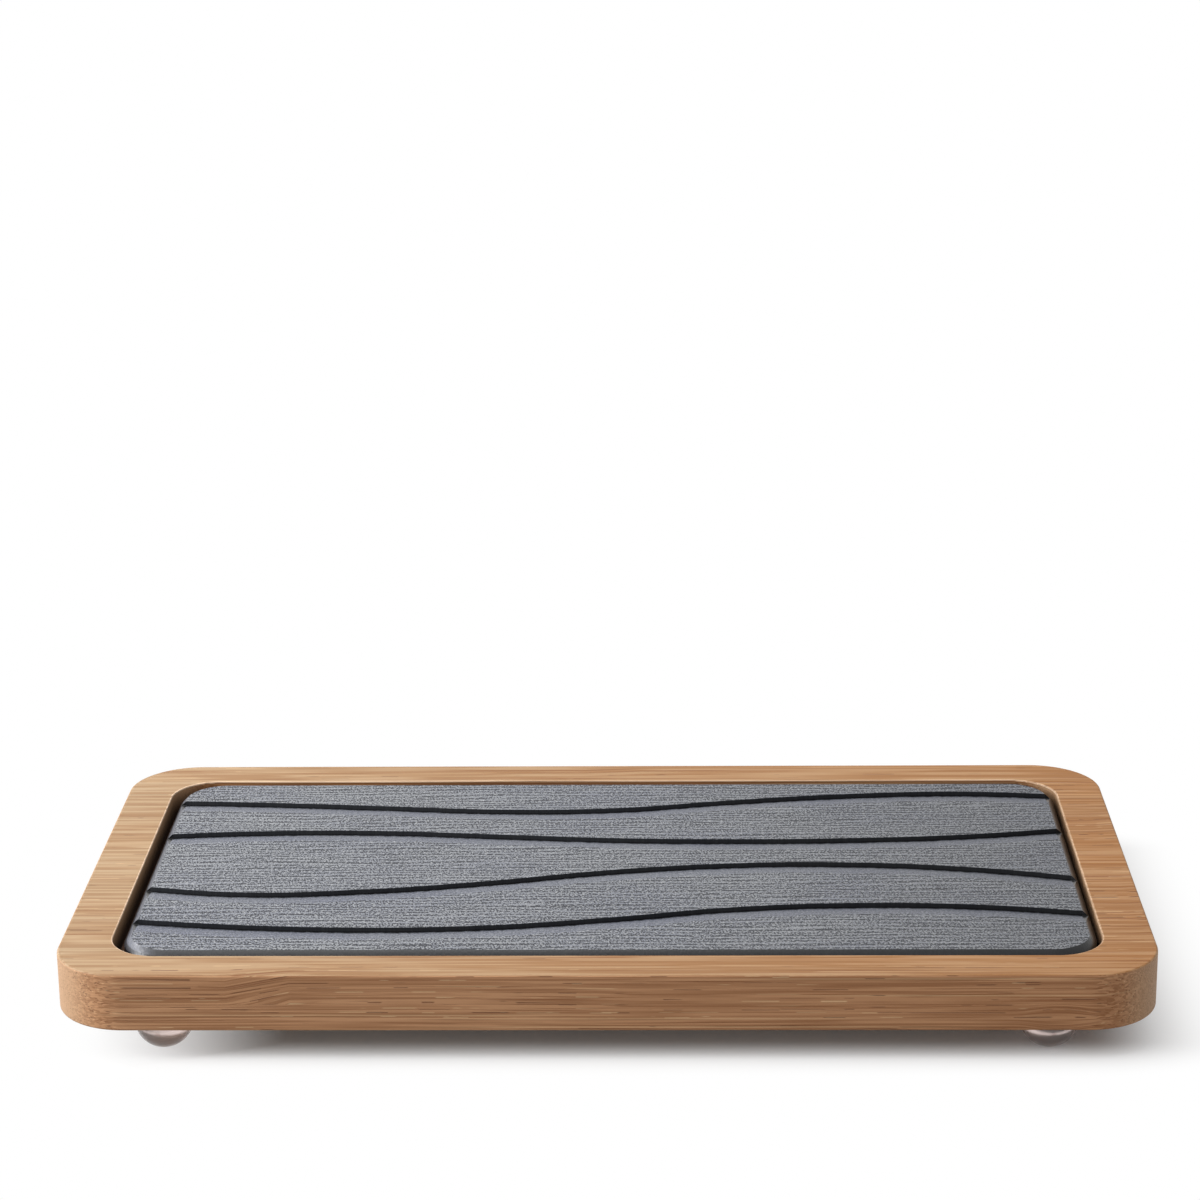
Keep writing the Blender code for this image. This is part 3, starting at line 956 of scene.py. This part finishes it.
def stoneMaterial(name, kind, surfaceHeight):
    # Pressed diatomite and fibre: blue-grey, with fine pale and dark grains. A wire brush leaves
    # the lands lined along the plate; the ramps are ground, the walls sawn and the edge honed.
    look = stoneLook
    finish = look[kind]
    tone = finish["tone"]
    material, tree, place = newMaterial(name)
    inMm = result(tree, "VectorMath", {0: place, 3: perMm}, operation="SCALE")

    surface = brushedSurface(tree, inMm, finish)
    share = result(tree, "Math", {0: surface, 1: look["middleShare"]}, operation="ADD", use_clamp=True)

    # bluer and greyer clouds, 30 mm across
    cloudAt = result(tree, "VectorMath", {0: inMm, 1: look["cloudScale"]}, operation="MULTIPLY")
    cloud = result(tree, "TexNoise", {"Vector": cloudAt, "Scale": 1.0, "Detail": 2.0})
    cloudLimits = (*look["cloudSpan"], finish["blue"], finish["blue"] + look["cloudSwing"])
    cloudShare = result(tree, "MapRange", {0: cloud, ramp: cloudLimits})
    lightTone = result(tree, "Mix", {0: cloudShare, 6: look["light"], 7: look["blue"]}, data_type="RGBA")
    ground = result(tree, "Mix", {0: share, 6: look["dark"], 7: lightTone}, data_type="RGBA")
    specks = result(
        tree, "TexVoronoi", {"Vector": inMm, "Scale": 1 / look["speckSpacing"]},
        feature="F1", voronoi_dimensions="2D"
    )
    speckLimits = (*look["speckDot"], look["speckShare"] * finish["grain"], 0.0)
    speckShare = result(tree, "MapRange", {0: specks, ramp: speckLimits})
    specked = result(tree, "Mix", {0: speckShare, 6: ground, 7: look["speck"]}, data_type="RGBA")

    # painted shade: the deeper below the brushed surface, the darker, at the foot of each groove wall and
    # on the plate's sides
    parts = addNode(tree, "SeparateXYZ", {0: inMm}).outputs
    darkFrom, litFrom = surfaceHeight - look["darkDepth"], surfaceHeight - look["litDepth"]
    paintedDepthLimits = (darkFrom, litFrom, look["darkShare"] * tone, tone)
    paintedDepthShade = result(tree, "MapRange", {0: parts[2], ramp: paintedDepthLimits})
    # painted light: the stone is painted paler towards the left end and darker towards the right, as the
    # left lamps fall off along the plate
    paintedFalloffLimits = (look["fadeFrom"], cadBox[1].x * perMm, look["leftTone"], look["rightTone"])
    paintedFalloffTone = result(tree, "MapRange", {0: parts[0], ramp: paintedFalloffLimits}, **smooth)
    bothTones = result(tree, "Math", {0: paintedDepthShade, 1: paintedFalloffTone}, operation="MULTIPLY")
    # painted light: the honed edge's left flank is painted paler, up to twelve times its dark tone, where
    # the left lamps would light it; the other three sides keep the dark honed tone
    normal = addNode(tree, "NewGeometry").outputs["Normal"]
    facing = result(tree, "SeparateXYZ", {0: normal})
    paintedFlankLimits = (*look["flankNormal"], 1.0, finish["flank"])
    paintedFlankLight = result(tree, "MapRange", {0: facing, ramp: paintedFlankLimits})
    allTones = result(tree, "Math", {0: bothTones, 1: paintedFlankLight}, operation="MULTIPLY")
    colour = result(tree, "VectorMath", {0: specked, 3: allTones}, operation="SCALE")
    bump = result(
        tree, "Bump", {"Height": surface, "Strength": look["bumpStrength"], "Distance": look["bumpDepth"]}
    )
    addSurface(tree, {
        "Base Color": colour, "Roughness": finish["roughness"], "IOR": look["refraction"],
        "Specular IOR Level": finish["gloss"], "Normal": bump,
    })
    return material


rubberLook = {
    "hazeSize": 3 * mm,
    "dense": "#e8d2cb",
    "clear": "#f6e4de",
    "shader": {
        "Roughness": 0.22, "IOR": 1.49, "Transmission Weight": 0.93,
        "Coat Weight": 0.25, "Coat Roughness": 0.1,
    },
}


def clearRubberMaterial():
    # Clear polyurethane bumper, cast: milky and soft-edged, with a faint rosy cast.
    look = rubberLook
    material, tree, place = newMaterial("castClearPolyurethane")
    haze = result(tree, "TexNoise", {"Vector": place, "Scale": 1 / look["hazeSize"], "Detail": 1.0})
    tint = result(tree, "Mix", {0: haze, 6: look["dense"], 7: look["clear"]}, data_type="RGBA")
    addSurface(tree, {"Base Color": tint, **look["shader"]})
    return material


adhesiveLook = {
    "bubbleSpacing": 0.9 * mm,
    "bubbleDot": (0.12, 0.22, 1.0, 0.0),
    "film": "#c3b5aa",
    "bubble": "#ded6d0",
    "shader": {"Roughness": 0.35, "IOR": 1.47},
}


def adhesiveMaterial():
    # Acrylic transfer adhesive, coated film: milky, with trapped air as paler dots.
    look = adhesiveLook
    material, tree, place = newMaterial("coatedAcrylicAdhesive")
    bubbles = result(
        tree, "TexVoronoi", {"Vector": place, "Scale": 1 / look["bubbleSpacing"]}, feature="F1"
    )
    share = result(tree, "MapRange", {0: bubbles, ramp: look["bubbleDot"]})
    colour = result(tree, "Mix", {0: share, 6: look["film"], 7: look["bubble"]}, data_type="RGBA")
    addSurface(tree, {"Base Color": colour, **look["shader"]})
    return material


def floorMaterial():
    # Matt white paper: shadows show near the tray, and further off it is plain white. Its fade to white
    # starts inside the tray's outline, a painted light that lightens the shadow's edge, and under the
    # tray's left end it paints light in.
    material, tree, place = newMaterial("mattPaper")
    insetX, insetY = studio["fadeInset"]
    corner = (cadBox[1].x - insetX, cadBox[1].y - insetY, 0.0)
    mirrored = result(tree, "VectorMath", {0: place}, operation="ABSOLUTE")
    outside = result(tree, "VectorMath", {0: mirrored, 1: corner}, operation="SUBTRACT")
    kept = result(tree, "VectorMath", {0: outside}, operation="MAXIMUM")
    widened = result(
        tree, "VectorMath", {0: kept, 1: (studio["sideFadeRatio"], 1.0, 1.0)}, operation="MULTIPLY"
    )
    far = result(tree, "VectorMath", {0: widened}, operation="LENGTH")
    farFade = result(
        tree, "MapRange", {0: far, ramp: (0.0, studio["fadeWidth"], studio["leastFade"], 1.0)}, **smooth
    )
    along = result(tree, "SeparateXYZ", {0: place})
    # painted light: the floor under the tray's left end glows white
    leftFade = result(tree, "MapRange", {0: along, ramp: (*studio["leftFade"], 1.0, 0.0)}, **smooth)
    fade = result(tree, "Math", {0: farFade, 1: leftFade}, operation="MAXIMUM")
    white = result(
        tree, "VectorMath", {0: hexColour(studio["floorWhite"])[:3], 3: studio["floorGain"]},
        operation="SCALE"
    )
    near = result(tree, "BsdfDiffuse", {"Color": white})
    plain = result(tree, "Emission", {"Strength": 1.0})
    seen = result(tree, "MixShader", {0: fade, 1: near, 2: plain})
    bounced = result(tree, "BsdfDiffuse", {"Color": studio["floorBounce"]})
    path = addNode(tree, "LightPath").outputs
    glossy = result(tree, "Math", {0: path["Is Camera Ray"], 1: path["Is Glossy Ray"]}, operation="MAXIMUM")
    shown = result(tree, "Math", {0: glossy, 1: path["Is Transmission Ray"]}, operation="MAXIMUM")
    both = result(tree, "MixShader", {0: shown, 1: bounced, 2: seen})
    # from below the paper isn't there, so the tray's underside can be looked at
    below = addNode(tree, "NewGeometry").outputs["Backfacing"]
    clear = result(tree, "BsdfTransparent")
    oneSided = result(tree, "MixShader", {0: below, 1: both, 2: clear})
    addNode(tree, "OutputMaterial", {"Surface": oneSided})
    return material


def makeStudio():
    scene = bpy.context.scene
    scene.view_settings.view_transform = "Standard"
    deselectAll()
    bpy.ops.mesh.primitive_plane_add(size=studio["floorSpan"], location=(0, 0, -studio["floorDrop"]))
    floor = bpy.context.object
    floor.name = "floor"
    bpy.ops.object.transform_apply()
    floor.data.materials.append(floorMaterial())

    for name, place, span, power in studio["softboxes"]:
        bpy.ops.object.light_add(type="AREA", location=place)
        softbox = bpy.context.object
        softbox.name = name
        softbox.data.shape = "SQUARE"
        softbox.data.size = span
        softbox.data.energy = power
        softbox.rotation_euler = (-Vector(place)).to_track_quat("-Z", "Y").to_euler()
        softbox.visible_camera = False

    world = scene.world or bpy.data.worlds.new("tent")
    scene.world = world
    world.use_nodes = True
    tree = world.node_tree
    tree.nodes.clear()
    direction = result(tree, "TexCoord")
    # the tent lights the object, its sheen is what gloss mirrors, and the camera sees plain white
    fabrics = []
    for part in ("tent", "sheen"):
        bright = Vector(studio[part + "BrightSide"]).normalized()
        facing = result(tree, "VectorMath", {0: direction, 1: bright}, operation="DOT_PRODUCT")
        mean, swing = studio[part + "Mean"], studio[part + "Swing"]
        strength = result(tree, "MapRange", {0: facing, ramp: (-1.0, 1.0, mean - swing, mean + swing)})
        fabrics.append(result(tree, "Background", {0: studio["tentColour"], 1: strength}))
    plain = result(tree, "Background", {0: studio["backdropColour"], 1: studio["backdropStrength"]})
    path = addNode(tree, "LightPath").outputs
    lit = result(tree, "MixShader", {0: path["Is Glossy Ray"], 1: fabrics[0], 2: fabrics[1]})
    shown = result(
        tree, "Math", {0: path["Is Camera Ray"], 1: path["Is Transmission Ray"]}, operation="MAXIMUM"
    )
    both = result(tree, "MixShader", {0: shown, 1: lit, 2: plain})
    addNode(tree, "OutputWorld", {"Surface": both})


def makeCamera():
    turn = Matrix.Rotation(-math.radians(viewpoint["turn"]), 3, "Z")
    tilt = Matrix.Rotation(math.pi / 2 - math.radians(viewpoint["tiltDown"]), 3, "X")
    roll = Matrix.Rotation(math.radians(viewpoint["roll"]), 3, "Z")
    bpy.ops.object.camera_add(location=viewpoint["place"], rotation=(turn @ tilt @ roll).to_euler())
    camera = bpy.context.object
    camera.data.lens = viewpoint["lens"]
    camera.data.sensor_width = viewpoint["sensor"]
    camera.data.clip_start = viewpoint["clipStart"]
    bpy.context.scene.camera = camera


print("studio and camera")
makeStudio()
makeCamera()

print("bamboo board")
rimFrame = makeRimFrame()
rimMaterials = rimFrame.data.materials
rimMaterials.append(bambooMaterial("oiledBambooRim", "rim", "oiled"))
# the window's wall takes painted shade from the top edge down
rimMaterials.append(bambooMaterial("routedBambooWall", "rim", "routed", cadBox[1].z * perMm))
# the window's arris takes a painted highlight
rimMaterials.append(bambooMaterial("sandedBambooArris", "rim", "sanded"))
paintWindow(rimFrame)
baseBoard = makeBaseBoard()
baseBoard.data.materials.append(bambooMaterial("oiledBambooBase", "base", "oiled"))
# the recess floor takes painted shade
baseBoard.data.materials.append(bambooMaterial("milledBambooRecess", "base", "milled"))
paintRecess(baseBoard)
for piece, node in ((rimFrame, "rim_frame"), (baseBoard, "base_board")):
    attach(piece, "tray")
    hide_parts(node)

print("stone plate")
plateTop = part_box("stone_plate")[1].z / mm
brushedStone = stoneMaterial("brushedDiatomite", "brushed", plateTop)
groundStone = stoneMaterial("groundDiatomite", "ground", plateTop)
wallStone = stoneMaterial("sawnDiatomite", "sawn", plateTop)
edgeStone = stoneMaterial("honedDiatomite", "honed", plateTop)
stonePlate, isLand = makeStonePlate()
splitStoneFaces(stonePlate, isLand, (groundStone, brushedStone, wallStone, edgeStone))
finishShape(stonePlate, plateLook["sharpAngle"])
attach(stonePlate, "plate")
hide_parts("stone_plate")

print("feet")
for foot, node in makeFeet(clearRubberMaterial()):
    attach(foot, "tray")
    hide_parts(node)
adhesive = adhesiveMaterial()
for name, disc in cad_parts.items():
    if name.startswith("adhesive_"):
        disc.data.materials.clear()
        disc.data.materials.append(adhesive)
